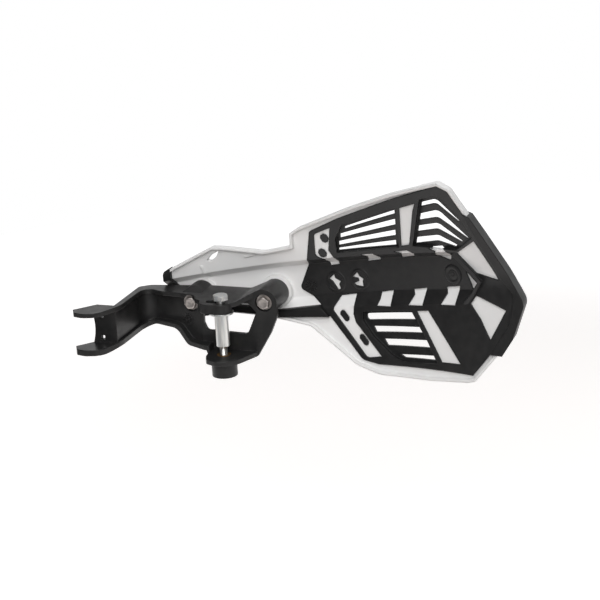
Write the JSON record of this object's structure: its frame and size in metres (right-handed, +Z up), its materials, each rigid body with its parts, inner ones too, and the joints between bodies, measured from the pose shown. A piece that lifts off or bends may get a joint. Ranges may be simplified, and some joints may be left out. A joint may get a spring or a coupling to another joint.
{
  "type": "motorcycle hand guard",
  "caption": "Right-hand motorcycle lever guard: curved two-tone louvred shield with a channelled spine, on a moulded arm with a handlebar fork and a lever-pivot bolt with sleeve.",
  "frame": {"origin": "on the lever pivot's axis, at the top face of the bracket's lower plate", "axes": "+X outboard along the handlebar toward the bar's end, +Y forward away from the rider, +Z up along the pivot bolt"},
  "size_m": [0.3252, 0.0918, 0.1536],
  "materials": {
    "white_moulding": "satin moulded white plastic",
    "black_moulding": "fine-grained moulded black plastic",
    "black_soft_moulding": "smooth black tough plastic",
    "black_filled_moulding": "fine-grained black fibre-filled plastic",
    "zinc_steel": "bright zinc plated",
    "brass": "turned"
  },
  "bodies": {
    "root": {"outer_shell": "white_moulding", "inner_frame": "black_moulding", "frame_pegs": "black_moulding", "edge_bumper": "black_soft_moulding", "wing_rail": "black_soft_moulding", "bracket": "black_filled_moulding", "pivot_bolt": "zinc_steel", "pivot_washer": "zinc_steel", "pivot_sleeve": "zinc_steel", "pivot_insert": "brass", "bracket_bolts": "zinc_steel", "bracket_washers": "zinc_steel"}
  },
  "joints": []
}
